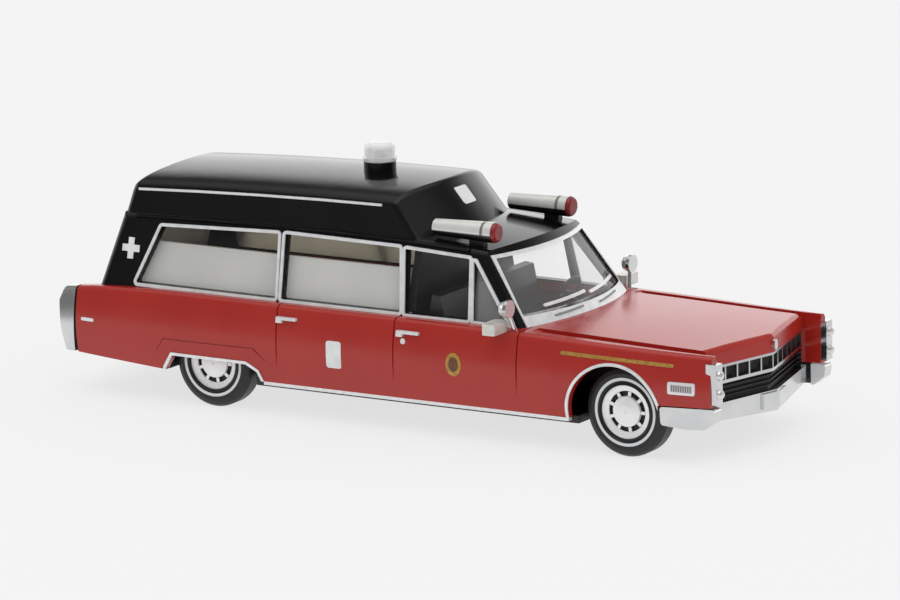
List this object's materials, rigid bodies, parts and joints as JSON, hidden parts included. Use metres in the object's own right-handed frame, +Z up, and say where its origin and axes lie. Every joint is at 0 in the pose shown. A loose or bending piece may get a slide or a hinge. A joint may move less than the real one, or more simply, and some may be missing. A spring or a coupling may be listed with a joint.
{
  "type": "1:87 scale model of a 1960s high-roof ambulance car",
  "caption": "Red and black 1:87 collector's model of a 1960s high-roof ambulance car, with chrome trim, roof lamps and wheels that turn.",
  "frame": {"origin": "on the ground under the middle of the model's length", "axes": "+X forward, +Y to the car's left, +Z up"},
  "size_m": [0.0734, 0.0264, 0.025],
  "materials": {
    "red_body": "gloss",
    "black_roof": "gloss",
    "clear_glass": "clear",
    "chrome": "polished",
    "silver_trim": "satin",
    "white_blind": "satin",
    "dark_interior": "matte",
    "tan_cot": "matte",
    "black_chassis": "matte",
    "white_plate": "satin",
    "lamp_lens": "clear",
    "red_lens": "clear",
    "steel": "satin",
    "tyre_rubber": "matte"
  },
  "bodies": {
    "model": {"body_shell": "red_body", "roof_shell": "black_roof", "windscreen": "clear_glass", "side_glass": "clear_glass", "back_glass": "clear_glass", "window_frames": "silver_trim", "windscreen_frame": "silver_trim", "back_window_frame": "silver_trim", "window_blinds": "white_blind", "cabin_floor": "dark_interior", "front_seat": "dark_interior", "dashboard": "dark_interior", "steering_wheel": "dark_interior", "partition": "dark_interior", "patient_cot": "tan_cot", "chassis": "black_chassis", "front_bumper": "chrome", "rear_bumper": "chrome", "number_plate": "white_plate", "rain_rails": "black_roof", "roof_plaque": "white_plate", "grille": "chrome", "grille_backing": "black_chassis", "headlamp_bezels": "chrome", "headlamp_lenses": "lamp_lens", "nose_ornament": "chrome", "tail_lamps": "red_lens", "cornering_lamps": "silver_trim", "tail_seals": "black_chassis", "door_handles": "silver_trim", "arch_mouldings": "silver_trim", "sill_mouldings": "silver_trim", "roof_mouldings": "silver_trim", "roof_lamp_tubes": "chrome", "roof_lamp_lenses": "red_lens", "beacon_base": "black_roof", "beacon_dome": "clear_glass", "beacon_lamp": "red_lens", "door_mirrors": "chrome", "spot_lamps": "chrome"},
    "front_wheelset": {"front_axle": "steel", "front_right_tyre": "tyre_rubber", "front_right_rim": "chrome", "front_left_tyre": "tyre_rubber", "front_left_rim": "chrome"},
    "rear_wheelset": {"rear_axle": "steel", "rear_right_tyre": "tyre_rubber", "rear_right_rim": "chrome", "rear_left_tyre": "tyre_rubber", "rear_left_rim": "chrome"}
  },
  "joints": [
    {"name": "front_wheels_turn", "type": "hinge", "parent": "model", "child": "front_wheelset", "pos_m": [0.0263, 0, 0.00425], "axis": [0, 1, 0], "continuous": true},
    {"name": "rear_wheels_turn", "type": "hinge", "parent": "model", "child": "rear_wheelset", "pos_m": [-0.0192, 0, 0.00425], "axis": [0, 1, 0], "continuous": true}
  ]
}
